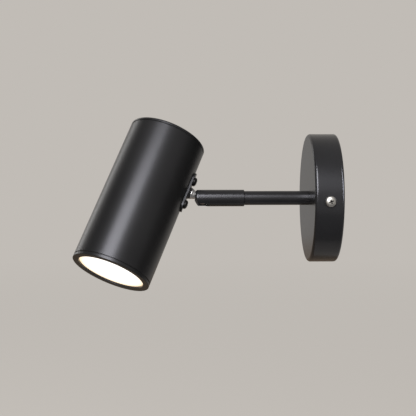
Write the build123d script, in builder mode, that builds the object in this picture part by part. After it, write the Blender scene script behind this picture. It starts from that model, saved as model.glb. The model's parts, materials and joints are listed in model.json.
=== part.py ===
from build123d import *

import os
from math import asin, cos, degrees, radians, sin, sqrt

# Pivoting spotlight wall light, in millimetres.
# Origin: centre of the canopy's back rim, on the wall. The wall is the plane Y = 0, the arm leaves
# it along -Y and +Z is up.

# canopy and what holds it
canopy_radius = 50
canopy_depth = 22
canopy_wall = 1.5
canopy_rim_wall = 2.0
canopy_front_round = 2.2
canopy_back_round = 1.9
cover_screw_depth = 10.6
cover_screw_hole_radius = 2.2
cover_screw_hole_depth = 4
ear_face = 47.0
ear_corner = 5
strap_width = 18
strap_thickness = 1.5
bend_radius = 1.2
hub_radius = 18
cable_hole_radius = 10
ear_reach = 16
earth_screw_offset = 14
wall_slot_spacing = 60
wall_slot_length = 14
wall_slot_width = 5

# clearances
fit = 0.05
clearance = 0.1
running_gap = 0.3

# pan-head screws: shank, head and cross recess
screw_radius = 2.0
small_screw_radius = 1.5
head_round_share = 0.62
tip_chamfer_share = 0.25
recess_arm_share = 0.22
recess_depth_share = 0.6
cover_screw_length = 9
cover_screw_head_radius = 4.15
cover_screw_head_height = 2.6
cover_screw_recess = 4.4
cover_screw_turn = 20
earth_screw_head_radius = 3
earth_screw_head_height = 2
earth_screw_recess = 3.2
bracket_screw_reach = 1.5
bracket_screw_head_radius = 3.6
bracket_screw_head_height = 2.4
bracket_screw_recess = 4.0
bracket_screw_turn = 45
board_screw_length = 6
board_screw_head_radius = 2.75
board_screw_head_height = 2
board_screw_recess = 2.8

# supply parts inside the canopy
pad_thickness = 1
driver_pad_margin = 8
driver_pad_side_margin = 6
terminal_pad_margin = 6
terminal_pad_side_margin = 4
driver_length = 56
driver_width = 25
driver_depth = 15
driver_height = 25.5
driver_corner = 2.5
driver_chamfer = 0.8
driver_notch_length = 9
driver_notch_width = 3.2
driver_notch_depth = 3
terminal_length = 30
terminal_width = 16
terminal_depth = 9
terminal_height = 28
terminal_pitch = 10
terminal_corner = 1
terminal_post_radius = 3.6
terminal_post_height = 3
terminal_well_radius = 2.2
terminal_well_depth = 6
terminal_wire_radius = 1.7
terminal_wire_depth = 6
terminal_screw_radius = 2
terminal_screw_height = 4
terminal_screw_sink = 1.5
screw_slot_length = 4.4
screw_slot_width = 0.7
screw_slot_depth = 0.9

# arm and swivel barrel
arm_radius = 5.5
arm_bore_radius = 4.0
arm_thread_radius = 5.0
thread_chamfer = 0.4
arm_root = 14.5
arm_end = 85.8
arm_nut_flats = 14
arm_nut_height = 3
washer_thickness = 0.6
washer_radius = 8.2
washer_teeth = 12
tooth_gap_depth = 1.6
tooth_gap_width = 2
wire_bore_radius = 2.2
journal_radius = 3.6
bolt_grip = 12
bolt_head_radius = 4.7
bolt_head_height = 1.8
barrel_radius = 6.5
barrel_start = 71.4
barrel_nose_round = 2.4
barrel_back_chamfer = 0.4
ball_distance = 103.8
ball_radius = 4.9
socket_radius = 5.0
nose_reach = 6.3
slot_half_width = 3.6
slot_end = 1.0
slot_reach = 8
short_slot = ((0, 0), (2.9, 4.3), (7.0, 8.1), (9, 8.1), (9, 0))
nose_relief = ((6.4, -0.8), (9, -0.8), (9, -9), (1.6, -9))
socket_bore_start = 12
bush_length = 5
cup_back = 7.5
cup_front = 2.6
spring_inner = 2.6
spring_outer = 4.7
spring_thickness = 0.5
spring_height = 1.05

# ball stud: distances from the ball's centre
neck_radius = 2.4
neck_end = 4.9
cone_end = (3.25, 7.0)
flare_start = (3.6, 8.2)
foot_radius = 4.2
foot_height = 0.3
stud_bore_radius = 1.4
stud_foot = 9.65
boss_face = 9.8
boss_radius = 4.3
boss_flank = (4.65, 10.9)
boss_flare = (5.5, 11.6)
boss_depth = 12.2
shank_radius = 2.45
stud_end = 21.6
stud_washer_face = 16.15
stud_washer_radius = 5.5
stud_washer_thickness = 1
stud_nut_flats = 8
stud_nut_height = 4

# rest pose of the swivel: barrel about the arm, stud above the arm, head about the stud
barrel_turn = 17.6
stud_tilt = 21.3
head_turn = 7.05

# lamp head
head_radius = 31
head_offset = 43.8
head_front = 83.2
head_rear = 37.6
plate_length = 34
plate_width = 11.4
plate_thickness = 1.4
plate_air = 0.02
plate_screw_spacing = 20.4
stud_hole_radius = 4
edge_break = 0.25
groove = 0.4
groove_depth = 0.6
front_opening_radius = 26.3
front_recess = 1.7
ring_seat_radius = 28.4
ring_spigot_length = 8
wall_thin = 1.5
wall_thick = 2.5
cap_height = 2.3
cap_round = 1.2
cap_floor = 2
cap_spigot_length = 6
cap_spigot_wall = 1.5
ring_height = 2.4
insert_radius = 28.2
diffuser_thickness = 2
gasket_thickness = 1
gasket_inner_radius = 26.6
reflector_depth = 22
reflector_mouth_radius = 26.0
reflector_rim_thickness = 1
reflector_rim_radius = 27.0
reflector_throat_radius = 10.6
reflector_throat_height = 0.7
reflector_wall_foot = (12.4, 1.1)
reflector_foot_radius = 15.0
reflector_foot_height = 1.0
board_thickness = 1.5
board_radius = 24
board_screw_circle = 19
board_wire_hole_radius = 2.2
board_wire_hole_angle = 60
chip_width = 3
chip_height = 0.8
chip_circle = 6.2
chip_count = 8
pad_hole_clearance = 0.3
thermal_pad_thickness = 0.5
sink_base = 6
fin_length = 30
fin_count = 9
fin_pitch = 6
fin_thickness = 1.6
fin_clearance = 0.7

os.makedirs("parts", exist_ok=True)

# directions and planes
outward = Vector(0, -1, 0)
swing = Vector(cos(radians(barrel_turn)), 0, sin(radians(barrel_turn)))
lift = outward.cross(swing)
ball_centre = outward * ball_distance
stud_out = outward * cos(radians(stud_tilt)) + lift * sin(radians(stud_tilt))
head_centre = ball_centre + stud_out * head_offset
hanging = swing.cross(stud_out)
beam = hanging * cos(radians(head_turn)) + swing * sin(radians(head_turn))

wall_plane = Plane(origin=(0, 0, 0), x_dir=(1, 0, 0), z_dir=(0, -1, 0))
arm_section = Plane(origin=(0, 0, 0), x_dir=(1, 0, 0), z_dir=(0, 0, -1))
arm_axis = Axis((0, 0, 0), (0, -1, 0))
barrel_section = Plane(origin=ball_centre, x_dir=swing, z_dir=swing.cross(outward))
stud_section = Plane(origin=ball_centre, x_dir=swing, z_dir=swing.cross(stud_out))
stud_plane = Plane(origin=ball_centre, x_dir=swing, z_dir=stud_out)
stud_axis = Axis(ball_centre, stud_out)
head_plane = Plane(origin=head_centre, x_dir=stud_out * -1, z_dir=beam)
head_section = Plane(origin=head_centre, x_dir=stud_out * -1, z_dir=(stud_out * -1).cross(beam))
head_axis = Axis(head_centre, beam)
plate_plane = Plane(origin=head_centre, x_dir=beam, z_dir=stud_out * -1)


def turned(section, axis, points, mode=Mode.ADD):
    # a solid of revolution: points are (radius, distance along the axis)
    with BuildSketch(section) as profile:
        with BuildLine():
            Polyline(*points, close=True)
        make_face()
    revolve(profile.sketch, axis=axis, mode=mode)


def tube_points(inner, outer, start, end):
    return [(inner, start), (outer, start), (outer, end), (inner, end)]


def pan_screw(shank_radius, shank_length, head_radius, head_height, recess, recess_turn=0):
    # a cross-recessed pan-head screw that stands on Z = 0 with its shank along -Z
    with BuildPart() as screw:
        Cylinder(head_radius, head_height, align=(Align.CENTER, Align.CENTER, Align.MIN))
        fillet(screw.edges().group_by(Axis.Z)[-1], radius=head_height * head_round_share)
        with Locations((0, 0, -shank_length)):
            Cylinder(shank_radius, shank_length, align=(Align.CENTER, Align.CENTER, Align.MIN))
        chamfer(screw.edges().group_by(Axis.Z)[0], length=shank_radius * tip_chamfer_share)
        with BuildSketch(Plane.XY.offset(head_height)):
            Rectangle(recess, recess * recess_arm_share, rotation=recess_turn)
            Rectangle(recess * recess_arm_share, recess, rotation=recess_turn)
        extrude(amount=-head_height * recess_depth_share, mode=Mode.SUBTRACT)
    return screw.part


def save(builder, name):
    builder.part.label = name
    export_step(builder.part, f"parts/{name}.step")


# wall side
with BuildPart() as canopy:
    with BuildSketch(arm_section):
        with BuildLine():
            Polyline(
                (arm_thread_radius + clearance, canopy_depth),
                (canopy_radius, canopy_depth),
                (canopy_radius, 0),
                (canopy_radius - canopy_rim_wall, 0),
                (canopy_radius - canopy_rim_wall, canopy_depth - canopy_wall),
                (arm_thread_radius + clearance, canopy_depth - canopy_wall),
                close=True,
            )
        make_face()
    revolve(axis=arm_axis)
    rim_edges = canopy.edges().filter_by(GeomType.CIRCLE).filter_by(
        lambda edge: abs(edge.radius - canopy_radius) < 0.01
    )
    fillet(rim_edges.sort_by(Axis.Y)[0], radius=canopy_front_round)
    fillet(rim_edges.sort_by(Axis.Y)[-1], radius=canopy_back_round)
    with Locations(
        Plane(origin=(canopy_radius, -cover_screw_depth, 0), z_dir=(1, 0, 0)),
        Plane(origin=(-canopy_radius, -cover_screw_depth, 0), z_dir=(-1, 0, 0)),
    ):
        Hole(radius=cover_screw_hole_radius, depth=cover_screw_hole_depth)
save(canopy, "canopy")

ear_inner = ear_face - strap_thickness
with BuildPart() as mounting_bracket:
    with BuildSketch(wall_plane):
        Rectangle(2 * ear_face, strap_width)
        Circle(hub_radius)
    extrude(amount=strap_thickness)
    with BuildSketch(Plane.YZ.offset(ear_inner), Plane.YZ.offset(-ear_face)) as ears:
        with Locations((-ear_reach / 2, 0)):
            Rectangle(ear_reach, strap_width)
        fillet(ears.vertices().group_by(Axis.X)[0], radius=ear_corner)
    extrude(amount=strap_thickness)
    bends = mounting_bracket.edges().filter_by(Axis.Z).group_by(Axis.Y)[-1]
    fillet(bends, radius=bend_radius)
    with BuildSketch(wall_plane):
        Circle(cable_hole_radius)
        with Locations((wall_slot_spacing / 2, 0), (-wall_slot_spacing / 2, 0)):
            SlotOverall(wall_slot_length, wall_slot_width)
        with Locations((0, -earth_screw_offset)):
            Circle(small_screw_radius + clearance)
    extrude(amount=strap_thickness, mode=Mode.SUBTRACT)
    with Locations(
        Plane(origin=(ear_face, -cover_screw_depth, 0), z_dir=(1, 0, 0)),
        Plane(origin=(-ear_face, -cover_screw_depth, 0), z_dir=(-1, 0, 0)),
    ):
        Hole(radius=screw_radius + fit, depth=strap_thickness)
save(mounting_bracket, "mounting_bracket")

cover_screw = pan_screw(
    screw_radius,
    cover_screw_length,
    cover_screw_head_radius,
    cover_screw_head_height,
    cover_screw_recess,
    recess_turn=cover_screw_turn,
)
with BuildPart() as cover_screws:
    with Locations(
        Plane(origin=(canopy_radius, -cover_screw_depth, 0), x_dir=(0, 1, 0), z_dir=(1, 0, 0)),
        Plane(origin=(-canopy_radius, -cover_screw_depth, 0), x_dir=(0, 1, 0), z_dir=(-1, 0, 0)),
    ):
        add(cover_screw)
save(cover_screws, "cover_screws")

with BuildPart() as earth_screw:
    with Locations(Plane(origin=(0, -strap_thickness, -earth_screw_offset), z_dir=(0, -1, 0))):
        add(
            pan_screw(
                small_screw_radius,
                strap_thickness,
                earth_screw_head_radius,
                earth_screw_head_height,
                earth_screw_recess,
            )
        )
save(earth_screw, "earth_screw")

pad_face = canopy_depth - canopy_wall
with BuildPart() as mounting_pads:
    with BuildSketch(wall_plane.offset(pad_face - pad_thickness)):
        with Locations((0, driver_height)):
            Rectangle(driver_length - driver_pad_margin, driver_width - driver_pad_side_margin)
        with Locations((0, -terminal_height)):
            Rectangle(terminal_length - terminal_pad_margin, terminal_width - terminal_pad_side_margin)
    extrude(amount=pad_thickness)
save(mounting_pads, "mounting_pads")

with BuildPart() as led_driver:
    with BuildSketch(wall_plane.offset(pad_face - pad_thickness - driver_depth)):
        with Locations((0, driver_height)):
            RectangleRounded(driver_length, driver_width, driver_corner)
    extrude(amount=driver_depth)
    chamfer(led_driver.faces().sort_by(Axis.Y)[-1].edges(), length=driver_chamfer)
    with BuildSketch(
        Plane.YZ.offset(-driver_length / 2),
        Plane.YZ.offset(driver_length / 2 - driver_notch_depth),
    ):
        with Locations((-pad_face + pad_thickness + driver_depth / 2, driver_height)):
            SlotOverall(driver_notch_length, driver_notch_width, rotation=90)
    extrude(amount=driver_notch_depth, mode=Mode.SUBTRACT)
save(led_driver, "led_driver")

terminal_top = pad_face - pad_thickness - terminal_depth
terminal_posts = [
    (pole * terminal_pitch, -terminal_height + side * terminal_width / 4)
    for pole in (-1, 0, 1)
    for side in (-1, 1)
]
with BuildPart() as terminal_block:
    with BuildSketch(wall_plane.offset(terminal_top)):
        with Locations((0, -terminal_height)):
            RectangleRounded(terminal_length, terminal_width, terminal_corner)
    extrude(amount=terminal_depth)
    with BuildSketch(wall_plane.offset(terminal_top)):
        with Locations(*terminal_posts):
            Circle(terminal_post_radius)
    extrude(amount=-terminal_post_height)
    with BuildSketch(wall_plane.offset(terminal_top - terminal_post_height)):
        with Locations(*terminal_posts):
            Circle(terminal_well_radius)
    extrude(amount=terminal_well_depth, mode=Mode.SUBTRACT)
    with BuildSketch(Plane.XY.offset(-terminal_height - terminal_width / 2)):
        with Locations(
            *[(pole * terminal_pitch, -terminal_top - terminal_wire_depth) for pole in (-1, 0, 1)]
        ):
            Circle(terminal_wire_radius)
    extrude(amount=terminal_width, mode=Mode.SUBTRACT)
save(terminal_block, "terminal_block")

with BuildPart() as terminal_screws:
    with BuildSketch(wall_plane.offset(terminal_top - terminal_screw_sink)):
        with Locations(*terminal_posts):
            Circle(terminal_screw_radius)
    extrude(amount=terminal_screw_height)
    with BuildSketch(wall_plane.offset(terminal_top - terminal_screw_sink)):
        with Locations(*terminal_posts):
            Rectangle(screw_slot_length, screw_slot_width)
    extrude(amount=screw_slot_depth, mode=Mode.SUBTRACT)
save(terminal_screws, "terminal_screws")

# arm
with BuildPart() as arm_tube:
    turned(
        arm_section,
        arm_axis,
        [
            (arm_bore_radius, arm_root),
            (arm_thread_radius - thread_chamfer, arm_root),
            (arm_thread_radius, arm_root + thread_chamfer),
            (arm_thread_radius, canopy_depth),
            (arm_radius, canopy_depth),
            (arm_radius, arm_end - thread_chamfer),
            (arm_radius - thread_chamfer, arm_end),
            (arm_bore_radius, arm_end),
        ],
    )
save(arm_tube, "arm_tube")

washer_face = pad_face - washer_thickness
with BuildPart() as toothed_washer:
    with BuildSketch(wall_plane.offset(washer_face)):
        Circle(washer_radius)
        with PolarLocations(washer_radius, washer_teeth):
            Rectangle(tooth_gap_depth, tooth_gap_width, mode=Mode.SUBTRACT)
        Circle(arm_thread_radius + clearance, mode=Mode.SUBTRACT)
    extrude(amount=washer_thickness)
save(toothed_washer, "toothed_washer")

with BuildPart() as arm_nut:
    with BuildSketch(wall_plane.offset(washer_face - arm_nut_height)):
        RegularPolygon(radius=arm_nut_flats / 2, side_count=6, major_radius=False)
        Circle(arm_thread_radius + fit, mode=Mode.SUBTRACT)
    extrude(amount=arm_nut_height)
save(arm_nut, "arm_nut")

bush_back = ball_distance - socket_bore_start - bush_length
bush_front = ball_distance - socket_bore_start
with BuildPart() as swivel_bolt:
    turned(
        arm_section,
        arm_axis,
        [
            (wire_bore_radius, arm_end - bolt_grip),
            (arm_bore_radius - fit, arm_end - bolt_grip),
            (arm_bore_radius - fit, arm_end),
            (journal_radius, arm_end),
            (journal_radius, bush_front + running_gap),
            (bolt_head_radius, bush_front + running_gap),
            (bolt_head_radius, bush_front + running_gap + bolt_head_height),
            (wire_bore_radius, bush_front + running_gap + bolt_head_height),
        ],
    )
save(swivel_bolt, "swivel_bolt")

# swivel barrel
barrel_back = barrel_start - ball_distance
seat_end = sqrt(socket_radius**2 - slot_half_width**2)
with BuildPart() as barrel:
    with BuildSketch(barrel_section):
        with BuildLine():
            Polyline(
                (slot_half_width, seat_end),
                (slot_half_width, nose_reach),
                (barrel_radius, nose_reach),
                (barrel_radius, barrel_back),
                (arm_radius + fit, barrel_back),
                (arm_radius + fit, -socket_bore_start),
                (socket_radius, -socket_bore_start),
                (socket_radius, 0),
            )
            CenterArc((0, 0), socket_radius, 0, degrees(asin(seat_end / socket_radius)))
        make_face()
    revolve(axis=arm_axis)
    outer_edges = barrel.edges().filter_by(GeomType.CIRCLE).filter_by(
        lambda edge: abs(edge.radius - barrel_radius) < 0.01
    )
    fillet(outer_edges.sort_by(Axis.Y)[0], radius=barrel_nose_round)
    chamfer(outer_edges.sort_by(Axis.Y)[-1], length=barrel_back_chamfer)
    # long slot that lets the stud fold down, with a round end behind the ball
    with BuildSketch(Plane(origin=ball_centre, x_dir=swing, z_dir=lift * -1)) as fold_slot:
        with BuildLine():
            Polyline(
                (slot_half_width, -slot_end),
                (slot_half_width, slot_reach),
                (-slot_half_width, slot_reach),
                (-slot_half_width, -slot_end),
            )
            CenterArc((0, -slot_end), slot_half_width, 180, 180)
        make_face()
    extrude(amount=slot_reach, mode=Mode.SUBTRACT)
    # short slot on the other side, and the relief of the nose on the slot's side
    with BuildSketch(Plane(origin=ball_centre, x_dir=outward, z_dir=swing * -1)):
        Polygon(*short_slot, align=None)
    extrude(amount=slot_half_width, both=True, mode=Mode.SUBTRACT)
    with BuildSketch(Plane(origin=ball_centre, x_dir=outward, z_dir=swing * -1)):
        Polygon(*nose_relief, align=None)
    extrude(amount=2 * barrel_radius, both=True, mode=Mode.SUBTRACT)
save(barrel, "barrel")

with BuildPart() as barrel_bush:
    turned(
        barrel_section,
        arm_axis,
        tube_points(
            journal_radius + fit,
            arm_radius,
            -socket_bore_start - bush_length,
            -socket_bore_start,
        ),
    )
save(barrel_bush, "barrel_bush")

with BuildPart() as thrust_washer:
    turned(
        barrel_section,
        arm_axis,
        tube_points(
            journal_radius + 2 * clearance,
            arm_radius - clearance,
            arm_end + running_gap - ball_distance,
            -socket_bore_start - bush_length,
        ),
    )
save(thrust_washer, "thrust_washer")

with BuildPart() as disc_springs:
    for edge_at, middle_at in (
        (-cup_back - 2 * spring_height, -cup_back - spring_height - spring_thickness),
        (-cup_back - spring_thickness, -cup_back - spring_height),
    ):
        turned(
            barrel_section,
            arm_axis,
            [
                (spring_inner, middle_at),
                (spring_outer, edge_at),
                (spring_outer, edge_at + spring_thickness),
                (spring_inner, middle_at + spring_thickness),
            ],
        )
save(disc_springs, "disc_springs")

with BuildPart() as friction_cup:
    turned(
        barrel_section,
        arm_axis,
        tube_points(wire_bore_radius, ball_radius, -cup_back, -cup_front),
    )
    with Locations(ball_centre):
        Sphere(socket_radius, mode=Mode.SUBTRACT)
save(friction_cup, "friction_cup")

# ball stud
ball_to_neck = sqrt(ball_radius**2 - neck_radius**2)
ball_to_bore = sqrt(ball_radius**2 - stud_bore_radius**2)
with BuildPart() as ball_stud:
    with BuildSketch(stud_section):
        with BuildLine():
            Polyline(
                (neck_radius, ball_to_neck),
                (neck_radius, neck_end),
                cone_end,
                flare_start,
                (foot_radius, stud_foot - foot_height),
                (foot_radius, stud_foot),
                (shank_radius, stud_foot),
                (shank_radius, stud_end - thread_chamfer),
                (shank_radius - thread_chamfer, stud_end),
                (stud_bore_radius, stud_end),
                (stud_bore_radius, -ball_to_bore),
            )
            ThreePointArc(
                (stud_bore_radius, -ball_to_bore),
                (ball_radius, 0),
                (neck_radius, ball_to_neck),
            )
        make_face()
    revolve(axis=stud_axis)
save(ball_stud, "ball_stud")

stud_nut_face = stud_washer_face + stud_washer_thickness
with BuildPart() as stud_washer:
    turned(
        stud_section,
        stud_axis,
        tube_points(shank_radius + clearance, stud_washer_radius, stud_washer_face, stud_nut_face),
    )
save(stud_washer, "stud_washer")

with BuildPart() as stud_nut:
    with BuildSketch(stud_plane.offset(stud_nut_face)):
        RegularPolygon(radius=stud_nut_flats / 2, side_count=6, major_radius=False)
        Circle(shank_radius + fit, mode=Mode.SUBTRACT)
    extrude(amount=stud_nut_height)
save(stud_nut, "stud_nut")

# lamp head
plate_face = head_radius + plate_thickness
plate_blank_start = head_radius - 3
plate_blank_height = 6
plate_hole_depth = 8
with BuildPart() as bracket_plate:
    with BuildSketch(plate_plane.offset(plate_blank_start)):
        SlotOverall(plate_length, plate_width)
    extrude(amount=plate_blank_height)
    turned(
        head_section,
        head_axis,
        tube_points(head_radius + plate_air, plate_face, -plate_length, plate_length),
        mode=Mode.INTERSECT,
    )
    with BuildSketch(stud_section):
        with BuildLine():
            Polyline(
                boss_flare,
                (boss_flare[0], boss_depth),
                (0, boss_depth),
                (0, boss_face),
                (boss_radius, boss_face),
            )
            ThreePointArc((boss_radius, boss_face), boss_flank, boss_flare)
        make_face()
    revolve(axis=stud_axis)
    with BuildSketch(plate_plane.offset(plate_blank_start)):
        Circle(shank_radius + fit)
        with GridLocations(plate_screw_spacing, 0, 2, 1):
            Circle(screw_radius + clearance)
    extrude(amount=plate_hole_depth, mode=Mode.SUBTRACT)
save(bracket_plate, "bracket_plate")

bracket_screw = pan_screw(
    screw_radius,
    plate_thickness + wall_thick + bracket_screw_reach,
    bracket_screw_head_radius,
    bracket_screw_head_height,
    bracket_screw_recess,
    recess_turn=bracket_screw_turn,
)
with BuildPart() as bracket_screws:
    for side in (-1, 1):
        seat = head_centre - stud_out * plate_face + beam * (side * plate_screw_spacing / 2)
        with Locations(Plane(origin=seat, x_dir=beam, z_dir=stud_out * -1)):
            add(bracket_screw)
save(bracket_screws, "bracket_screws")

tube_back = -head_rear + cap_height + groove
tube_front = head_front - ring_height - groove
groove_radius = head_radius - groove_depth
thick_inner = head_radius - wall_thick
thin_inner = head_radius - wall_thin
diffuser_face = head_front - front_recess
diffuser_back = diffuser_face - diffuser_thickness
reflector_front = diffuser_back - gasket_thickness
board_face = reflector_front - reflector_depth
board_back = board_face - board_thickness
sink_face = board_back - thermal_pad_thickness
sink_shoulder = sink_face - sink_base
spigot_radius = thick_inner - fit
spigot_end = tube_back + cap_spigot_length
floor_face = -head_rear + cap_floor
ring_root = tube_front - ring_spigot_length
ring_spigot_radius = thin_inner - fit

with BuildPart() as head_tube:
    turned(
        head_section,
        head_axis,
        [
            (thick_inner, tube_back),
            (head_radius - edge_break, tube_back),
            (head_radius, tube_back + edge_break),
            (head_radius, tube_front - edge_break),
            (head_radius - edge_break, tube_front),
            (thin_inner, tube_front),
            (thin_inner, sink_shoulder),
            (thick_inner, sink_shoulder),
        ],
    )
    with BuildSketch(plate_plane.offset(plate_blank_start)):
        Circle(stud_hole_radius)
        with GridLocations(plate_screw_spacing, 0, 2, 1):
            Circle(screw_radius + fit)
    extrude(amount=plate_hole_depth, both=True, mode=Mode.SUBTRACT)
save(head_tube, "head_tube")

with BuildPart() as rear_cap:
    turned(
        head_section,
        head_axis,
        [
            (0, -head_rear),
            (head_radius, -head_rear),
            (head_radius, tube_back - groove - edge_break),
            (head_radius - edge_break, tube_back - groove),
            (groove_radius, tube_back - groove),
            (groove_radius, tube_back),
            (spigot_radius, tube_back),
            (spigot_radius, spigot_end),
            (spigot_radius - cap_spigot_wall, spigot_end),
            (spigot_radius - cap_spigot_wall, floor_face),
            (0, floor_face),
        ],
    )
    back_edges = rear_cap.edges().filter_by(GeomType.CIRCLE).filter_by(
        lambda edge: abs(edge.radius - head_radius) < 0.01
    )
    fillet(back_edges.sort_by(head_axis)[0], radius=cap_round)
save(rear_cap, "rear_cap")

with BuildPart() as front_ring:
    turned(
        head_section,
        head_axis,
        [
            (front_opening_radius, diffuser_face),
            (front_opening_radius, head_front - edge_break),
            (front_opening_radius + edge_break, head_front),
            (head_radius - edge_break, head_front),
            (head_radius, head_front - edge_break),
            (head_radius, tube_front + groove + edge_break),
            (head_radius - edge_break, tube_front + groove),
            (groove_radius, tube_front + groove),
            (groove_radius, tube_front),
            (ring_spigot_radius, tube_front),
            (ring_spigot_radius, ring_root),
            (ring_seat_radius, ring_root),
            (ring_seat_radius, diffuser_face),
        ],
    )
save(front_ring, "front_ring")

with BuildPart() as diffuser:
    with BuildSketch(head_plane.offset(diffuser_back)):
        Circle(insert_radius)
    extrude(amount=diffuser_thickness)
save(diffuser, "diffuser")

with BuildPart() as diffuser_gasket:
    turned(
        head_section,
        head_axis,
        tube_points(gasket_inner_radius, insert_radius, reflector_front, diffuser_back),
    )
save(diffuser_gasket, "diffuser_gasket")

with BuildPart() as reflector:
    turned(
        head_section,
        head_axis,
        [
            (reflector_mouth_radius, reflector_front),
            (insert_radius, reflector_front),
            (insert_radius, reflector_front - reflector_rim_thickness),
            (reflector_rim_radius, reflector_front - reflector_rim_thickness),
            (reflector_wall_foot[0], board_face + reflector_wall_foot[1]),
            (reflector_foot_radius, board_face + reflector_foot_height),
            (reflector_foot_radius, board_face),
            (reflector_throat_radius, board_face),
            (reflector_throat_radius, board_face + reflector_throat_height),
        ],
    )
save(reflector, "reflector")

with BuildPart() as led_board:
    with BuildSketch(head_plane.offset(board_back)):
        Circle(board_radius)
        with PolarLocations(board_screw_circle, 3):
            Circle(small_screw_radius + fit, mode=Mode.SUBTRACT)
        with PolarLocations(board_screw_circle, 1, start_angle=board_wire_hole_angle):
            Circle(board_wire_hole_radius, mode=Mode.SUBTRACT)
    extrude(amount=board_thickness)
save(led_board, "led_board")

with BuildPart() as led_chips:
    with BuildSketch(head_plane.offset(board_face)):
        Rectangle(chip_width, chip_width)
        with PolarLocations(chip_circle, chip_count):
            Rectangle(chip_width, chip_width)
    extrude(amount=chip_height)
save(led_chips, "led_chips")

board_screw = pan_screw(
    small_screw_radius,
    board_screw_length,
    board_screw_head_radius,
    board_screw_head_height,
    board_screw_recess,
)
with BuildPart() as board_screws:
    with Locations(head_plane.offset(board_face)):
        with PolarLocations(board_screw_circle, 3):
            add(board_screw)
save(board_screws, "board_screws")

with BuildPart() as thermal_pad:
    with BuildSketch(head_plane.offset(sink_face)):
        Circle(board_radius)
        with PolarLocations(board_screw_circle, 3):
            Circle(small_screw_radius + pad_hole_clearance, mode=Mode.SUBTRACT)
        with PolarLocations(board_screw_circle, 1, start_angle=board_wire_hole_angle):
            Circle(board_wire_hole_radius, mode=Mode.SUBTRACT)
    extrude(amount=thermal_pad_thickness)
save(thermal_pad, "thermal_pad")

with BuildPart() as heat_sink:
    with BuildSketch(head_plane.offset(sink_shoulder)):
        Circle(thin_inner - clearance)
    extrude(amount=sink_base)
    with BuildSketch(head_plane.offset(sink_shoulder - fin_length)):
        with GridLocations(0, fin_pitch, 1, fin_count):
            Rectangle(2 * head_radius, fin_thickness)
        Circle(thick_inner - fin_clearance, mode=Mode.INTERSECT)
    extrude(amount=fin_length)
    with BuildSketch(head_plane.offset(sink_shoulder)):
        with PolarLocations(board_screw_circle, 3):
            Circle(small_screw_radius + fit)
        with PolarLocations(board_screw_circle, 1, start_angle=board_wire_hole_angle):
            Circle(board_wire_hole_radius)
    extrude(amount=sink_base, mode=Mode.SUBTRACT)
save(heat_sink, "heat_sink")
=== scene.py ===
import json
import math

import bmesh
import bpy
from mathutils import Matrix, Vector


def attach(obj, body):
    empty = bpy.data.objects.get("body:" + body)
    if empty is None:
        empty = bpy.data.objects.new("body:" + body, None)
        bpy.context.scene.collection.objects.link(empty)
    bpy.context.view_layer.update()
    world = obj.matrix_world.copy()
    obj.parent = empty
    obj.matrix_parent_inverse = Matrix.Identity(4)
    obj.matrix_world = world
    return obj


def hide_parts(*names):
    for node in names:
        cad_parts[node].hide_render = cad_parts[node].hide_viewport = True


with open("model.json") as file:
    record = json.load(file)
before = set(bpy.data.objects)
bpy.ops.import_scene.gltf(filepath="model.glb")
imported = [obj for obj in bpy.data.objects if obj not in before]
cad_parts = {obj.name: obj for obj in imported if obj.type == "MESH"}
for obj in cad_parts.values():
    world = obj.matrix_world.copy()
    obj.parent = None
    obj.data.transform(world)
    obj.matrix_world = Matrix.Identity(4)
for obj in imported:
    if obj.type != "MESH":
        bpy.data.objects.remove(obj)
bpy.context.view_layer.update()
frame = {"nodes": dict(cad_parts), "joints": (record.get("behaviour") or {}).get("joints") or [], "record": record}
nodes = frame["nodes"]
scene = bpy.context.scene
print("frame loaded:", len(nodes), "nodes")

headPlaces = {  # in metres, from the middle of the lamp head
    "ball": 0.0438,
    "plateFace": 0.0324,
    "bracketScrew": 0.0102,
    "boardFace": 0.0565,
    "boardScrewCircle": 0.019,
    "chipCircle": 0.0062,
}
wallPlaces = {  # in metres, from the middle of the canopy's back
    "coverScrewSide": 0.05,
    "coverScrewOut": 0.0106,
    "earthScrewOut": 0.0015,
    "earthScrewDown": 0.014,
}
headTurnDegrees = 7.05  # how far the head stands turned on its stud at rest

# directions and middles of the lamp at rest, from its joints
joints = {joint["name"]: joint for joint in frame["joints"]}
origin = Vector((0, 0, 0))
rightward = Vector((1, 0, 0))
armAxis = Vector((0, -1, 0))
upAxis = Vector((0, 0, 1))
ballCentre = Vector(joints["stud_tilt"]["pos_m"])
swingAxis = Vector(joints["stud_tilt"]["axis"]).normalized()
studAxis = Vector(joints["head_turn"]["axis"]).normalized()
downFromHead = -studAxis
headTurn = math.radians(headTurnDegrees)
beamAxis = swingAxis.cross(studAxis) * math.cos(headTurn) + swingAxis * math.sin(headTurn)
boardAcross = beamAxis.cross(downFromHead)
headCentre = ballCentre + studAxis * headPlaces["ball"]
plateFace = headCentre + downFromHead * headPlaces["plateFace"]
boardFace = headCentre + beamAxis * headPlaces["boardFace"]


# helpers for shader nodes
def newMaterial(name):
    material = bpy.data.materials.new(name)
    material.use_nodes = True
    tree = material.node_tree
    shader = tree.nodes["Principled BSDF"]
    return material, tree, shader


def addNode(tree, kind, **values):  # a node, with its inputs and settings set by name
    node = tree.nodes.new(kind)
    for name, value in values.items():
        if name in node.inputs:
            node.inputs[name].default_value = value
        else:
            setattr(node, name, value)
    return node


def turnFor(axis):  # the Euler angles of a frame whose Z is this axis
    return axis.to_track_quat("Z", "Y").to_euler()


def objectCoordinates(tree, centre=origin, turn=(0, 0, 0)):
    coordinates = tree.nodes.new("ShaderNodeTexCoord")
    mapping = tree.nodes.new("ShaderNodeMapping")
    mapping.vector_type = "TEXTURE"  # centre and turn are those of the pattern
    mapping.inputs["Location"].default_value = centre
    mapping.inputs["Rotation"].default_value = turn
    tree.links.new(coordinates.outputs["Object"], mapping.inputs["Vector"])
    return mapping.outputs["Vector"]


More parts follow.
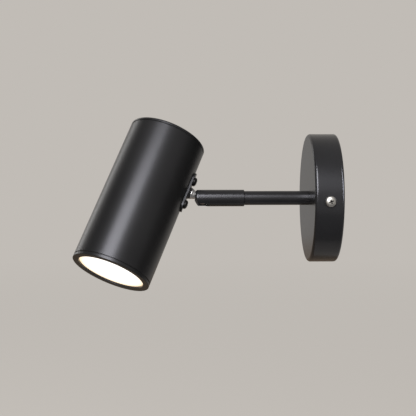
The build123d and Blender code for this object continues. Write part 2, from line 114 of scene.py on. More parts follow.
def noise(tree, vector, scale, detail):
    texture = addNode(tree, "ShaderNodeTexNoise", Scale=scale, Detail=detail, Roughness=0.5)
    tree.links.new(vector, texture.inputs["Vector"])
    return texture.outputs["Fac"]


noiseLow, noiseHigh = 0.3, 0.7  # most of a noise's values lie between these


def spread(tree, value, low, high, fromLow=noiseLow, fromHigh=noiseHigh):  # a value, between two others
    node = tree.nodes.new("ShaderNodeMapRange")
    limits = {"From Min": fromLow, "From Max": fromHigh, "To Min": low, "To Max": high}
    for name, number in limits.items():
        node.inputs[name].default_value = number
    tree.links.new(value, node.inputs["Value"])
    return node.outputs["Result"]


def colourBetween(tree, value, darker, lighter):
    ramp = tree.nodes.new("ShaderNodeValToRGB")
    stops = ramp.color_ramp.elements
    for stop, position, colour in zip(stops, (noiseLow, noiseHigh), (darker, lighter)):
        stop.position = position
        stop.color = (*colour, 1)
    tree.links.new(value, ramp.inputs["Fac"])
    return ramp.outputs["Color"]


def shaded(colour, share):
    return tuple(channel * share for channel in colour)


def mixedColour(tree, share, first, second):  # the first is a socket or a colour, the second a colour
    mix = addNode(tree, "ShaderNodeMix", data_type="RGBA")
    colourA, colourB = [socket for socket in mix.inputs if socket.type == "RGBA"]
    if isinstance(first, bpy.types.NodeSocket):
        tree.links.new(first, colourA)
    else:
        colourA.default_value = (*first, 1)
    colourB.default_value = (*second, 1)
    tree.links.new(share, mix.inputs["Factor"])
    return next(socket for socket in mix.outputs if socket.type == "RGBA")


def addBump(tree, shader, height, strength, depth, below=None):
    bump = addNode(tree, "ShaderNodeBump", Strength=strength, Distance=depth)
    tree.links.new(height, bump.inputs["Height"])
    if below is not None:
        tree.links.new(below, bump.inputs["Normal"])
    tree.links.new(bump.outputs["Normal"], shader.inputs["Normal"])
    return bump.outputs["Normal"]


def ringDistance(tree, centre, axis):  # distance from a turned piece's axis, and the place it is read at
    vector = objectCoordinates(tree, centre, turnFor(axis))
    flat = addNode(tree, "ShaderNodeVectorMath", operation="MULTIPLY")
    flat.inputs[1].default_value = (1, 1, 0)
    length = addNode(tree, "ShaderNodeVectorMath", operation="LENGTH")
    tree.links.new(vector, flat.inputs[0])
    tree.links.new(flat.outputs["Vector"], length.inputs[0])
    return length.outputs["Value"], vector


# finishes, each with its own dictionary
powder = {
    "cloud": 30,
    "cloudLighter": 1.35,
    "peel": 260,
    "peelStrength": 0.3,
    "peelDepth": 0.00002,
    "grain": 1500,
    "grainStrength": 0.4,
    "grainDepth": 0.000012,
    "grainRoughness": 0.03,
    "specular": 0.29,
    "tint": (0.87, 0.89, 1.0),
}


def powderCoat(name, colour, roughness, grainShare):  # satin powder coat: fine grain over a slight peel
    material, tree, shader = newMaterial(name)
    where = objectCoordinates(tree)
    peel = noise(tree, where, powder["peel"], 2)
    grain = noise(tree, where, powder["grain"], 2)
    cloud = noise(tree, where, powder["cloud"], 4)
    tone = colourBetween(tree, cloud, colour, shaded(colour, powder["cloudLighter"]))
    tree.links.new(tone, shader.inputs["Base Color"])
    varied = powder["grainRoughness"] * grainShare
    tree.links.new(spread(tree, grain, roughness - varied, roughness + varied), shader.inputs["Roughness"])
    shader.inputs["Specular IOR Level"].default_value = powder["specular"]
    shader.inputs["Specular Tint"].default_value = (*powder["tint"], 1)
    under = addBump(tree, shader, peel, powder["peelStrength"] * grainShare, powder["peelDepth"])
    addBump(tree, shader, grain, powder["grainStrength"] * grainShare, powder["grainDepth"], under)
    return material


plating = {
    "stain": 220,
    "stainDarker": 0.8,
    "roughnessSpread": 0.12,
    "ringStrength": 0.25,
    "ringDepth": 0.000008,
    # share of the colour left in a screw's recess, as painted shade
    "recessShadeDarker": 0.08,
}


def platedMetal(name, colour, roughness, centre=origin, axis=upAxis, rings=3500, paintRecessShade=False):
    material, tree, shader = newMaterial(name)
    radius, vector = ringDistance(tree, centre, axis)
    wave = addNode(tree, "ShaderNodeTexNoise", Scale=rings, Detail=2.0, noise_dimensions="1D")
    tree.links.new(radius, wave.inputs["W"])
    stain = noise(tree, vector, plating["stain"], 4)
    tone = colourBetween(tree, stain, shaded(colour, plating["stainDarker"]), colour)
    if paintRecessShade:  # painted shade darkens the recess of a screw
        recessShadeMask = addNode(tree, "ShaderNodeAttribute", attribute_name="recessShadeMask")
        tone = mixedColour(tree, recessShadeMask.outputs["Fac"], tone, shaded(colour, plating["recessShadeDarker"]))
    tree.links.new(tone, shader.inputs["Base Color"])
    rougher = roughness + plating["roughnessSpread"]
    tree.links.new(spread(tree, stain, roughness, rougher), shader.inputs["Roughness"])
    shader.inputs["Metallic"].default_value = 1.0
    addBump(tree, shader, wave.outputs["Fac"], plating["ringStrength"], plating["ringDepth"])
    return material


moulding = {
    "cloud": 60,
    "cloudDarker": 0.93,
    "roughnessSpread": 0.08,
    "grain": 900,
    "grainStrength": 0.3,
    "grainDepth": 0.00002,
}


def mouldedPlastic(name, colour, roughness):
    material, tree, shader = newMaterial(name)
    where = objectCoordinates(tree)
    cloud = noise(tree, where, moulding["cloud"], 3)
    tone = colourBetween(tree, cloud, shaded(colour, moulding["cloudDarker"]), colour)
    tree.links.new(tone, shader.inputs["Base Color"])
    rougher = roughness + moulding["roughnessSpread"]
    tree.links.new(spread(tree, cloud, roughness, rougher), shader.inputs["Roughness"])
    grain = noise(tree, where, moulding["grain"], 2)
    addBump(tree, shader, grain, moulding["grainStrength"], moulding["grainDepth"])
    return material


foam = {"cells": 1400.0, "cellDarker": 0.6, "roughness": (0.85, 0.95), "strength": 0.6, "depth": 0.0001}


def foamRubber(name, colour):
    material, tree, shader = newMaterial(name)
    cells = addNode(tree, "ShaderNodeTexVoronoi", Scale=foam["cells"])
    tree.links.new(objectCoordinates(tree), cells.inputs["Vector"])
    fromCell = cells.outputs["Distance"]
    tone = colourBetween(tree, fromCell, shaded(colour, foam["cellDarker"]), colour)
    tree.links.new(tone, shader.inputs["Base Color"])
    tree.links.new(spread(tree, fromCell, *foam["roughness"]), shader.inputs["Roughness"])
    addBump(tree, shader, fromCell, foam["strength"], foam["depth"])
    return material


glow = {
    "middle": (1.0, 0.975, 0.93),
    "edge": (0.66, 0.45, 0.22),
    "edgeStart": 0.0205,
    "edgeEnd": 0.0266,
    "strength": 1.2,
    "frost": 1200,
    "frostColours": ((0.42, 0.41, 0.38), (0.47, 0.46, 0.43)),
    "roughness": (0.45, 0.55),
}


def litDiffuser(name):  # opal plate lit from behind, warmer towards its rim
    material, tree, shader = newMaterial(name)
    radius, vector = ringDistance(tree, headCentre, beamAxis)
    share = spread(tree, radius, 0.0, 1.0, glow["edgeStart"], glow["edgeEnd"])
    tree.links.new(mixedColour(tree, share, glow["middle"], glow["edge"]), shader.inputs["Emission Color"])
    shader.inputs["Emission Strength"].default_value = glow["strength"]
    frost = noise(tree, vector, glow["frost"], 2)
    tree.links.new(colourBetween(tree, frost, *glow["frostColours"]), shader.inputs["Base Color"])
    tree.links.new(spread(tree, frost, *glow["roughness"]), shader.inputs["Roughness"])
    return material


finishes = {
    "canopy_black": powderCoat("canopyBlack", (0.0045, 0.0045, 0.0048), 0.24, 0.3),
    "arm_black": powderCoat("armBlack", (0.005, 0.005, 0.0054), 0.26, 0.07),
    "plate_black": powderCoat("plateBlack", (0.005, 0.005, 0.0052), 0.32, 0.3),
    "head_black": powderCoat("headBlack", (0.0045, 0.0045, 0.0046), 0.33, 0.7),
    "screw_black": platedMetal("screwBlack", (0.03, 0.03, 0.032), 0.3, paintRecessShade=True),
    "stud_dark": platedMetal("studDark", (0.42, 0.42, 0.43), 0.34, ballCentre, studAxis),
    "screw_nickel": platedMetal("screwNickel", (0.5, 0.495, 0.48), 0.3, paintRecessShade=True),
    "zinc_steel": platedMetal("zincSteel", (0.56, 0.57, 0.58), 0.3, paintRecessShade=True),
    "brass": platedMetal("brassTurned", (0.72, 0.52, 0.24), 0.25, axis=armAxis, paintRecessShade=True),
    "nylon": mouldedPlastic("nylonNatural", (0.72, 0.71, 0.66), 0.45),
    "foam_rubber": foamRubber("foamRubber", (0.12, 0.12, 0.125)),
    "driver_white": mouldedPlastic("driverWhite", (0.74, 0.74, 0.72), 0.5),
    "terminal_white": mouldedPlastic("terminalWhite", (0.75, 0.73, 0.66), 0.4),
    "sink_aluminium": platedMetal("sinkAluminium", (0.78, 0.79, 0.8), 0.32),
    "reflector_bright": platedMetal(
        "reflectorBright", (0.86, 0.86, 0.87), 0.14, headCentre, beamAxis, rings=900
    ),
    "led_yellow": mouldedPlastic("ledPhosphor", (0.85, 0.66, 0.1), 0.5),
    "diffuser_opal": litDiffuser("diffuserOpal"),
}


def paint(piece, material):
    piece.data.materials.clear()
    piece.data.materials.append(material)
    for face in piece.data.polygons:
        face.material_index = 0


slotOf = {row["node"]: row["material_slot"] for row in frame["record"]["subparts"]}
for nodeName, node in nodes.items():
    paint(node, finishes[slotOf[nodeName]])
print("finishes on", len(nodes), "nodes")

# pieces grown with Geometry Nodes: sizes in mm, one point of the seed mesh for each copy
millimetre = 0.001
mergeDistance = 0.0005
sharpAngle = 34


def newTree(name, sizes):
    tree = bpy.data.node_groups.new(name, "GeometryNodeTree")
    tree.interface.new_socket("Geometry", in_out="INPUT", socket_type="NodeSocketGeometry")
    tree.interface.new_socket("Material", in_out="INPUT", socket_type="NodeSocketMaterial")
    for sizeName, value in sizes.items():
        kind = "NodeSocketInt" if isinstance(value, int) else "NodeSocketFloat"
        tree.interface.new_socket(sizeName, in_out="INPUT", socket_type=kind).default_value = value
    tree.interface.new_socket("Geometry", in_out="OUTPUT", socket_type="NodeSocketGeometry")
    return tree, tree.nodes.new("NodeGroupInput").outputs


def feed(tree, socket, value):  # a link from another node, or a plain value
    if isinstance(value, bpy.types.NodeSocket):
        tree.links.new(value, socket)
    else:
        socket.default_value = value


def put(tree, kind, inputs=None, **settings):
    node = tree.nodes.new(kind)
    for settingName, value in settings.items():
        setattr(node, settingName, value)
    for socketName, value in (inputs or {}).items():
        feed(tree, node.inputs[socketName], value)
    return node


def reckon(tree, operation, *values, clamp=False):
    node = put(tree, "ShaderNodeMath", operation=operation, use_clamp=clamp)
    for socket, value in zip(node.inputs, values):
        feed(tree, socket, value)
    return node.outputs[0]


def plus(tree, first, second):
    return reckon(tree, "ADD", first, second)


def minus(tree, first, second):
    return reckon(tree, "SUBTRACT", first, second)


def times(tree, first, second):
    return reckon(tree, "MULTIPLY", first, second)


def sine(tree, angle):
    return reckon(tree, "SINE", angle)


def cosine(tree, angle):
    return reckon(tree, "COSINE", angle)


def atLeastZero(tree, value):
    return reckon(tree, "MAXIMUM", value, 0.0)


def combine(tree, x, y, z):
    return put(tree, "ShaderNodeCombineXYZ", {"X": x, "Y": y, "Z": z}).outputs[0]


def pointPlace(tree):
    position = put(tree, "GeometryNodeInputPosition").outputs[0]
    return put(tree, "ShaderNodeSeparateXYZ", {0: position}).outputs


def move(tree, geometry, position):
    return put(tree, "GeometryNodeSetPosition", {"Geometry": geometry, "Position": position}).outputs[0]


def shifted(tree, geometry, offset):
    return put(tree, "GeometryNodeTransform", {"Geometry": geometry, "Translation": offset}).outputs[0]


def joined(tree, *geometries):
    node = put(tree, "GeometryNodeJoinGeometry")
    for geometry in geometries:
        tree.links.new(geometry, node.inputs["Geometry"])
    return node.outputs[0]


def cutAway(tree, body, tools):
    node = put(tree, "GeometryNodeMeshBoolean", {"Mesh 1": body}, operation="DIFFERENCE")
    for tool in tools:
        tree.links.new(tool, node.inputs["Mesh 2"])
    return node.outputs["Mesh"]


def revolved(tree, sides, rings, profile):  # a grid rolled up: the profile gives radius and height
    grid = put(tree, "GeometryNodeMeshGrid", {
        "Size X": 1.0,
        "Size Y": 1.0,
        "Vertices X": sides + 1,
        "Vertices Y": rings,
    })
    x, y, _ = pointPlace(tree)
    turns = plus(tree, x, 0.5)  # the grid lies around zero, and both shares run from 0 to 1
    along = plus(tree, y, 0.5)
    radius, height = profile(along, turns)
    angle = times(tree, turns, 2 * math.pi)
    rolled = combine(
        tree,
        times(tree, radius, cosine(tree, angle)),
        times(tree, radius, sine(tree, angle)),
        height,
    )
    surface = move(tree, grid.outputs["Mesh"], rolled)
    closing = {"Geometry": surface, "Distance": mergeDistance}
    return put(tree, "GeometryNodeMergeByDistance", closing).outputs[0]


def marked(tree, geometry, value):  # faces carry whether they belong to a recess, which gets painted shade
    return put(
        tree,
        "GeometryNodeStoreNamedAttribute",
        {"Geometry": geometry, "Name": "recessShadeMask", "Value": value},
        data_type="FLOAT",
        domain="FACE",
    ).outputs[0]


def coated(tree, geometry, material):
    return put(tree, "GeometryNodeSetMaterial", {"Geometry": geometry, "Material": material}).outputs[0]


def box(tree, size, centre):
    cube = put(tree, "GeometryNodeMeshCube", {"Size": size}).outputs["Mesh"]
    return shifted(tree, cube, centre)


def rod(tree, radius, length, centre, sides):
    inputs = {"Vertices": sides, "Radius": radius, "Depth": length}
    return shifted(tree, put(tree, "GeometryNodeMeshCylinder", inputs).outputs["Mesh"], centre)


def handOut(tree, given, piece):  # a copy on each point, made real
    facing = put(tree, "GeometryNodeInputNamedAttribute", {"Name": "facing"}, data_type="FLOAT_VECTOR")
    turn = put(tree, "FunctionNodeEulerToRotation", {0: facing.outputs["Attribute"]}).outputs[0]
    copies = put(tree, "GeometryNodeInstanceOnPoints", {
        "Points": given["Geometry"],
        "Instance": piece,
        "Rotation": turn,
        "Scale": (millimetre, millimetre, millimetre),
    }).outputs[0]
    real = put(tree, "GeometryNodeRealizeInstances", {"Geometry": copies}).outputs[0]
    tree.links.new(real, tree.nodes.new("NodeGroupOutput").inputs[0])


def facingOf(alongX, alongZ):
    return Matrix((alongX, alongZ.cross(alongX), alongZ)).transposed().to_euler()


def grow(name, tree, sizes, copies, body, slotName, replaced):
    seed = bpy.data.meshes.new(name + "Seed")
    seed.from_pydata([tuple(centre) for centre, *_ in copies], [], [])
    facing = seed.attributes.new("facing", "FLOAT_VECTOR", "POINT")
    for row, (_, alongX, alongZ) in zip(facing.data, copies):
        row.vector = facingOf(alongX, alongZ)
    piece = bpy.data.objects.new(name, seed)
    scene.collection.objects.link(piece)
    modifier = piece.modifiers.new("grow", "NODES")
    modifier.node_group = tree
    sockets = {row.name: row.identifier for row in tree.interface.items_tree if row.in_out == "INPUT"}
    modifier[sockets["Material"]] = finishes[slotName]
    for sizeName, value in sizes.items():
        modifier[sockets[sizeName]] = value
    depsgraph = bpy.context.evaluated_depsgraph_get()
    mesh = bpy.data.meshes.new_from_object(piece.evaluated_get(depsgraph), depsgraph=depsgraph)
    piece.modifiers.remove(modifier)
    piece.data = mesh
    mesh.shade_smooth()
    mesh.set_sharp_from_angle(angle=math.radians(sharpAngle))
    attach(piece, body)
    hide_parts(replaced)
    print("grown:", name, len(mesh.polygons), "faces")


# screws: the tree's sizes are those of the cover screws, and the others give their own
screwSizes = {
    "Head Radius": 4.15,
    "Head Height": 2.6,
    "Head Roundness": 2.7,
    "Recess": 4.4,
    "Recess Width": 1.15,
    "Recess Depth": 1.9,
    "Shank Radius": 2.0,
    "Shank Length": 9.0,
    "Pitch": 0.7,
    "Thread Depth": 0.4,
    "Thread Rings": 80,
}
screwShape = {
    "headSides": 48,
    "headRings": 17,
    "seatShare": 0.25,  # of the head's rings, for its flat underside
    "recessTaper": (0.5, 1.15),
    "shankSides": 32,
    "shankEndShare": 0.03,  # of the shank's rings, for each flat end
    "shankReach": 0.2,  # into the head
}


def panScrewTree():  # pan head with a tapered cross recess, on a shank with a helical thread
    tree, given = newTree("panScrew", screwSizes)
    power = reckon(tree, "DIVIDE", 2.0, given["Head Roundness"])
    seatShare = screwShape["seatShare"]
    endShare = screwShape["shankEndShare"]

    def headProfile(along, _):
        seat = reckon(tree, "DIVIDE", along, seatShare, clamp=True)
        rise = times(tree, atLeastZero(tree, minus(tree, along, seatShare)), 1 / (1 - seatShare))
        arc = times(tree, rise, math.pi / 2)
        across = reckon(tree, "POWER", atLeastZero(tree, cosine(tree, arc)), power)
        up = reckon(tree, "POWER", sine(tree, arc), power)
        radius = times(tree, times(tree, across, seat), given["Head Radius"])
        return radius, times(tree, up, given["Head Height"])

    def shankProfile(along, turns):
        fromTip = reckon(tree, "DIVIDE", along, endShare, clamp=True)
        fromTop = reckon(tree, "DIVIDE", minus(tree, 1.0, along), endShare, clamp=True)
        run = put(tree, "ShaderNodeMapRange", {
            "Value": along,
            "From Min": endShare,
            "From Max": 1 - endShare,
            "To Min": times(tree, given["Shank Length"], -1.0),
            "To Max": screwShape["shankReach"],
        }).outputs[0]
        phase = minus(tree, reckon(tree, "DIVIDE", run, given["Pitch"]), turns)
        wave = times(tree, reckon(tree, "PINGPONG", phase, 0.5), 2.0)
        radius = minus(tree, given["Shank Radius"], times(tree, wave, given["Thread Depth"]))
        return times(tree, radius, reckon(tree, "MINIMUM", fromTip, fromTop)), run

    head = revolved(tree, screwShape["headSides"], screwShape["headRings"], headProfile)
    shank = revolved(tree, screwShape["shankSides"], given["Thread Rings"], shankProfile)
    narrowest, widest = screwShape["recessTaper"]
    wings = []
    deep = times(tree, given["Recess Depth"], 2.0)
    for size in (
        combine(tree, given["Recess"], given["Recess Width"], deep),
        combine(tree, given["Recess Width"], given["Recess"], deep),
    ):
        cube = put(tree, "GeometryNodeMeshCube", {"Size": size}).outputs["Mesh"]
        x, y, z = pointPlace(tree)
        narrow = put(tree, "ShaderNodeMapRange", {
            "Value": z,
            "From Min": times(tree, given["Recess Depth"], -1.0),
            "From Max": given["Recess Depth"],
            "To Min": narrowest,
            "To Max": widest,
        }).outputs[0]
        wedge = move(tree, cube, combine(
            tree,
            times(tree, x, narrow),
            times(tree, y, narrow),
            plus(tree, z, given["Head Height"]),
        ))
        wings.append(marked(tree, wedge, 1.0))
    recessed = cutAway(tree, marked(tree, head, 0.0), wings)
    whole = joined(tree, recessed, marked(tree, shank, 0.0))
    handOut(tree, given, coated(tree, whole, given["Material"]))
    return tree


def onBoard(radius, degreesRound):
    angle = math.radians(degreesRound)
    return boardFace + (downFromHead * math.cos(angle) + boardAcross * math.sin(angle)) * radius


def turnedBy(alongX, alongZ, degreesRound):
    angle = math.radians(degreesRound)
    return alongX * math.cos(angle) + alongZ.cross(alongX) * math.sin(angle)


def coverScrew(outward):
    centre = outward * wallPlaces["coverScrewSide"] + armAxis * wallPlaces["coverScrewOut"]
    return centre, turnedBy(-armAxis, outward, 20), outward


def bracketScrew(side):
    centre = plateFace + beamAxis * side * headPlaces["bracketScrew"]
    return centre, turnedBy(beamAxis, downFromHead, 45), downFromHead


smallThread = {"Shank Radius": 1.5, "Pitch": 0.5, "Thread Depth": 0.28}
screws = {
    "coverScrews": {
        "sizes": {},
        "copies": [coverScrew(rightward), coverScrew(-rightward)],
        "row": ("wall_side", "screw_nickel", "cover_screws"),
    },
    "bracketScrews": {
        "sizes": {
            "Head Radius": 3.6, "Head Height": 2.4, "Recess": 4.0, "Recess Width": 0.9,
            "Recess Depth": 1.4, "Shank Length": 5.4, "Thread Rings": 50,
        },
        "copies": [bracketScrew(-1), bracketScrew(1)],
        "row": ("lamp_head", "screw_black", "bracket_screws"),
    },
    "boardScrews": {
        "sizes": {
            "Head Radius": 2.75, "Head Height": 2.0, "Recess": 2.8, "Recess Width": 0.62,
            "Recess Depth": 1.2, "Shank Length": 6.0, "Thread Rings": 76, **smallThread,
        },
        "copies": [
            (onBoard(headPlaces["boardScrewCircle"], angle), downFromHead, beamAxis)
            for angle in (0, 120, 240)
        ],
        "row": ("lamp_head", "zinc_steel", "board_screws"),
    },
    "earthScrew": {
        "sizes": {
            "Head Radius": 3.0, "Head Height": 2.0, "Recess": 3.2, "Recess Width": 0.7,
            "Recess Depth": 1.2, "Shank Length": 1.5, "Thread Rings": 20, **smallThread,
        },
        "copies": [(
            armAxis * wallPlaces["earthScrewOut"] - upAxis * wallPlaces["earthScrewDown"],
            rightward,
            armAxis,
        )],
        "row": ("wall_side", "brass", "earth_screw"),
    },
}

panScrew = panScrewTree()
for screwName, screw in screws.items():
    grow(screwName, panScrew, screw["sizes"], screw["copies"], *screw["row"])

# light sources on the round board
packageSizes = {"Width": 3.0, "Height": 0.5, "Lens Radius": 1.2, "Lens Height": 0.25, "Pad Length": 2.3}
packageShape = {
    "frameInset": 0.2,  # of the frame's width, so that the pads stand out
    "padWidth": 0.3,
    "padHeight": 0.12,
    "lensSides": 24,
    "lensRings": 7,
}


def ledPackageTree():  # white frame with a domed phosphor lens and two solder pads
    tree, given = newTree("ledPackage", packageSizes)
    half = times(tree, given["Height"], 0.5)
    frameWidth = minus(tree, given["Width"], packageShape["frameInset"])
    frameSize = combine(tree, frameWidth, frameWidth, given["Height"])
    frameBox = box(tree, frameSize, combine(tree, 0.0, 0.0, half))

    def lensProfile(along, _):
        arc = times(tree, along, math.pi / 2)
        radius = times(tree, given["Lens Radius"], atLeastZero(tree, cosine(tree, arc)))
        up = times(tree, given["Lens Height"], sine(tree, arc))
        return radius, plus(tree, up, given["Height"])

    lens = revolved(tree, packageShape["lensSides"], packageShape["lensRings"], lensProfile)
    padWidth, padHeight = packageShape["padWidth"], packageShape["padHeight"]
    padSize = combine(tree, padWidth, given["Pad Length"], padHeight)
    padSide = minus(tree, times(tree, given["Width"], 0.5), padWidth / 2)
    pads = [
        box(tree, padSize, combine(tree, times(tree, padSide, side), 0.0, padHeight / 2))
        for side in (-1.0, 1.0)
    ]
    whole = joined(
        tree,
        coated(tree, frameBox, finishes["terminal_white"]),
        coated(tree, lens, given["Material"]),
        *(coated(tree, pad, finishes["zinc_steel"]) for pad in pads),
    )
    handOut(tree, given, whole)
    return tree


def chipAt(degreesRound, radius):
    return onBoard(radius, degreesRound), turnedBy(downFromHead, beamAxis, degreesRound), beamAxis


chips = [chipAt(0, 0), *(chipAt(45 * number, headPlaces["chipCircle"]) for number in range(8))]
grow("ledPackages", ledPackageTree(), {}, chips, "lamp_head", "led_yellow", "led_chips")

# heat sink behind the board
sinkSizes = {
    "Fins": 9,
    "Pitch": 6.0,
    "Thickness": 1.6,
    "Fin Length": 30.0,
    "Fin Circle": 27.8,
    "Base Radius": 29.4,
    "Base Height": 6.0,
    "Shoulder": 48.5,
    "Screw Circle": 19.0,
    "Screw Hole": 1.55,
    "Wire Hole": 2.2,
}
sinkShape = {
    "baseSides": 128,
    "holeSides": 24,
    "drillLength": 1.5,  # of the base's height, so that each hole goes through
    "holes": ((0, "Screw Hole"), (120, "Screw Hole"), (240, "Screw Hole"), (60, "Wire Hole")),
}


def heatSinkTree():  # a base disc with its holes, and a row of fins cut to the circle of the tube
    tree, given = newTree("heatSink", sinkSizes)
    middle = plus(tree, given["Shoulder"], times(tree, given["Base Height"], 0.5))
    baseCentre = combine(tree, 0.0, 0.0, middle)
    base = rod(tree, given["Base Radius"], given["Base Height"], baseCentre, sinkShape["baseSides"])
    drillLength = times(tree, given["Base Height"], sinkShape["drillLength"])
    drills = []
    for degreesRound, holeRadius in sinkShape["holes"]:
        angle = math.radians(degreesRound)
        centre = combine(
            tree,
            times(tree, given["Screw Circle"], math.cos(angle)),
            times(tree, given["Screw Circle"], math.sin(angle)),
            middle,
        )
        drills.append(rod(tree, given[holeRadius], drillLength, centre, sinkShape["holeSides"]))
    drilled = cutAway(tree, base, drills)
    firstFin = times(tree, minus(tree, given["Fins"], 1.0), times(tree, given["Pitch"], -0.5))
    row = put(tree, "GeometryNodeMeshLine", {
        "Count": given["Fins"],
        "Start Location": combine(tree, 0.0, firstFin, 0.0),
        "Offset": combine(tree, 0.0, given["Pitch"], 0.0),
    }).outputs["Mesh"]
    _, y, _ = pointPlace(tree)
    outer = plus(tree, reckon(tree, "ABSOLUTE", y), times(tree, given["Thickness"], 0.5))
    circleSquare = reckon(tree, "POWER", given["Fin Circle"], 2.0)
    halfChord = reckon(tree, "SQRT", minus(tree, circleSquare, reckon(tree, "POWER", outer, 2.0)))
    unitFin = box(tree, (1.0, 1.0, 1.0), (0.0, 0.0, -0.5))  # hangs below its point
    fins = put(tree, "GeometryNodeInstanceOnPoints", {
        "Points": row,
        "Instance": unitFin,
        "Scale": combine(tree, times(tree, halfChord, 2.0), given["Thickness"], given["Fin Length"]),
    }).outputs[0]
    finsMade = put(tree, "GeometryNodeRealizeInstances", {"Geometry": fins}).outputs[0]
    hung = shifted(tree, finsMade, combine(tree, 0.0, 0.0, given["Shoulder"]))
    handOut(tree, given, coated(tree, joined(tree, drilled, hung), given["Material"]))
    return tree


sinkPlace = [(headCentre, downFromHead, beamAxis)]
grow("heatSinkFins", heatSinkTree(), {}, sinkPlace, "lamp_head", "sink_aluminium", "heat_sink")

# floor, backdrop and light
studio = {
    "backdrop": (0.533, 0.503, 0.468),
    "ambient": 0.42,
    "floorHeight": -0.32,
    "floorRadius": 3.0,
    "floorSides": 96,
    "fadeFrom": 0.7,  # the floor fades into the backdrop between these radii
    "fadeTo": 2.4,
    "plainShare": 0.85,  # how much of the floor's seen colour is plain, and free of light and shadow
}
lampAim = Vector((0, -0.1, 0))  # places of lamps and flags are angles and distances from here
lamps = {
    "keySoftbox": {
        "azimuth": -18, "elevation": 30, "distance": 1.2, "size": (0.7, 0.9),
        "radiance": 18.8, "colour": (1.0, 0.975, 0.95),
    },
    "sideStrip": {
        "azimuth": 15, "elevation": 27, "distance": 1.2, "size": (0.22, 0.5),
        "radiance": 0.8, "colour": (1.0, 0.975, 0.95),
    },
    "edgeStrip": {  # kept off all but the canopy, for the bright lines of its edges
        "azimuth": 50, "elevation": 19, "distance": 1.2, "size": (0.25, 0.8),
        "radiance": 29.0, "colour": (0.97, 0.975, 1.0), "lights": ["canopy"],
    },
    "backSoftbox": {
        "azimuth": -136, "elevation": 18, "distance": 1.2, "size": (0.3, 0.8),
        "radiance": 2.3, "colour": (1.0, 0.99, 0.97),
    },
}
flags = {  # panels that show only in reflections, as a photographer sets beside a glossy black object
    "frontFlag": {
        "azimuth": -88, "elevation": 25, "distance": 1.1, "size": (0.8, 1.0),
        "colour": (0.03, 0.03, 0.032),
    },
    "wallFlag": {
        "azimuth": 100, "elevation": 10, "distance": 1.1, "size": (1.2, 1.2),
        "colour": (0.03, 0.03, 0.032),
    },
    "lowFlag": {
        "azimuth": 0, "elevation": -60, "distance": 0.32, "size": (0.8, 0.5),
        "colour": (0.19, 0.185, 0.18),
    },
    "farCard": {
        "azimuth": -172, "elevation": -4, "distance": 1.1, "size": (0.5, 0.7),
        "colour": (0.4, 0.385, 0.37),
    },
    "floorCard": {
        "azimuth": -130, "elevation": -70, "distance": 0.3, "size": (1.2, 1.0),
        "colour": (0.26, 0.2, 0.15),
    },
}


def seenByEye(tree):  # 1 for camera, glossy and transmission rays
    path = tree.nodes.new("ShaderNodeLightPath")
    total = addNode(tree, "ShaderNodeMath", operation="ADD")
    tree.links.new(path.outputs["Is Camera Ray"], total.inputs[0])
    tree.links.new(path.outputs["Is Glossy Ray"], total.inputs[1])
    capped = addNode(tree, "ShaderNodeMath", operation="ADD", use_clamp=True)
    tree.links.new(total.outputs[0], capped.inputs[0])
    tree.links.new(path.outputs["Is Transmission Ray"], capped.inputs[1])
    return capped.outputs[0]


def mixedShader(tree, share, first, second):
    mix = tree.nodes.new("ShaderNodeMixShader")
    for socket, output in zip(mix.inputs, (share, first, second)):
        tree.links.new(output, socket)
    return mix.outputs[0]


def plainLight(tree, colour):  # shows as this colour, whatever the light
    emission = tree.nodes.new("ShaderNodeEmission")
    emission.inputs["Color"].default_value = (*colour, 1)
    return emission.outputs[0]


def makeWorld():
    world = bpy.data.worlds.new("studioWorld")
    world.use_nodes = True
    scene.world = world
    tree = world.node_tree
    plain = tree.nodes["Background"]
    plain.inputs["Color"].default_value = (*studio["backdrop"], 1)
    ambient = addNode(tree, "ShaderNodeBackground", Strength=studio["ambient"])
    ambient.inputs["Color"].default_value = (1, 1, 1, 1)
    sky = mixedShader(tree, seenByEye(tree), ambient.outputs[0], plain.outputs[0])
    tree.links.new(sky, tree.nodes["World Output"].inputs["Surface"])


def newStageObject(name, build):
    mesh = bpy.data.meshes.new(name)
    build.to_mesh(mesh)
    build.free()
    material, tree, shader = newMaterial(name)
    tree.nodes.remove(shader)
    mesh.materials.append(material)
    stageObject = bpy.data.objects.new(name, mesh)
    scene.collection.objects.link(stageObject)
    return stageObject, tree, tree.nodes["Material Output"].inputs["Surface"]


def makeFloor():
    build = bmesh.new()
    bmesh.ops.create_circle(
        build, cap_ends=True, segments=studio["floorSides"], radius=studio["floorRadius"]
    )
    bmesh.ops.translate(build, verts=build.verts, vec=upAxis * studio["floorHeight"])
    floor, tree, surface = newStageObject("floor", build)
    lit = tree.nodes.new("ShaderNodeBsdfDiffuse")
    lit.inputs["Color"].default_value = (*studio["backdrop"], 1)
    share = addNode(tree, "ShaderNodeMath", operation="MULTIPLY")
    share.inputs[1].default_value = studio["plainShare"]
    tree.links.new(seenByEye(tree), share.inputs[0])
    seen = mixedShader(tree, share.outputs[0], lit.outputs[0], plainLight(tree, studio["backdrop"]))
    radius, _ = ringDistance(tree, origin, upAxis)
    fade = spread(tree, radius, 0.0, 1.0, studio["fadeFrom"], studio["fadeTo"])
    clear = tree.nodes.new("ShaderNodeBsdfTransparent")
    tree.links.new(mixedShader(tree, fade, seen, clear.outputs[0]), surface)


def directionOf(spot):
    azimuth, elevation = math.radians(spot["azimuth"]), math.radians(spot["elevation"])
    return Vector((
        math.cos(elevation) * math.cos(azimuth),
        math.cos(elevation) * math.sin(azimuth),
        math.sin(elevation),
    ))


def stand(piece, spot):  # at its place, facing the lamp
    away = directionOf(spot)
    piece.location = lampAim + away * spot["distance"]
    piece.rotation_euler = turnFor(away)


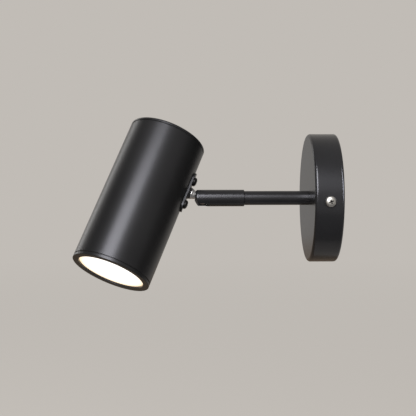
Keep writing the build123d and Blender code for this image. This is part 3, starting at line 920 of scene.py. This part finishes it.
def makeLamp(name, lamp):
    data = bpy.data.lights.new(name, "AREA")
    data.shape = "RECTANGLE"
    data.size, data.size_y = lamp["size"]
    data.energy = lamp["radiance"] * math.pi * data.size * data.size_y
    data.color = lamp["colour"]
    softbox = bpy.data.objects.new(name, data)
    scene.collection.objects.link(softbox)
    stand(softbox, lamp)
    softbox.visible_camera = False
    if "lights" in lamp:
        lit = bpy.data.collections.new(name)
        for litName in lamp["lights"]:
            lit.objects.link(nodes[litName])
        softbox.light_linking.receiver_collection = lit


def makeFlag(name, flag):
    build = bmesh.new()
    bmesh.ops.create_grid(build, x_segments=1, y_segments=1, size=0.5)
    bmesh.ops.scale(build, verts=build.verts, vec=(*flag["size"], 1))
    panel, tree, surface = newStageObject(name, build)
    stand(panel, flag)
    tree.links.new(plainLight(tree, flag["colour"]), surface)
    panel.visible_camera = False
    panel.visible_diffuse = False
    panel.visible_shadow = False
    panel.visible_transmission = False


makeWorld()
makeFloor()
for flagName, flag in flags.items():
    makeFlag(flagName, flag)
for lampName, lamp in lamps.items():
    makeLamp(lampName, lamp)
print("studio lit by", len(lamps), "softboxes, with", len(flags), "flags")

# camera at the photograph's viewing angle
view = {
    "place": (0.808583, -0.126028, 0.044195),
    "azimuth": 88.139,  # of the line back to the camera, turned from straight in front towards +X
    "elevation": 3.677,
    "focal": 1034.245,  # in pixels of the photograph
    "imageWidth": 416,
    "sensorWidth": 36,
    "nearest": 0.01,
}


def makeCamera():
    azimuth, elevation = math.radians(view["azimuth"]), math.radians(view["elevation"])
    back = Vector((
        math.sin(azimuth) * math.cos(elevation),
        -math.cos(azimuth) * math.cos(elevation),
        math.sin(elevation),
    ))
    data = bpy.data.cameras.new("camera")
    data.sensor_width = view["sensorWidth"]
    data.lens = view["focal"] * view["sensorWidth"] / view["imageWidth"]
    data.clip_start = view["nearest"]
    camera = bpy.data.objects.new("camera", data)
    scene.collection.objects.link(camera)
    camera.location = view["place"]
    camera.rotation_euler = (-back).to_track_quat("-Z", "Y").to_euler()
    scene.camera = camera


makeCamera()
scene.view_settings.view_transform = "Standard"
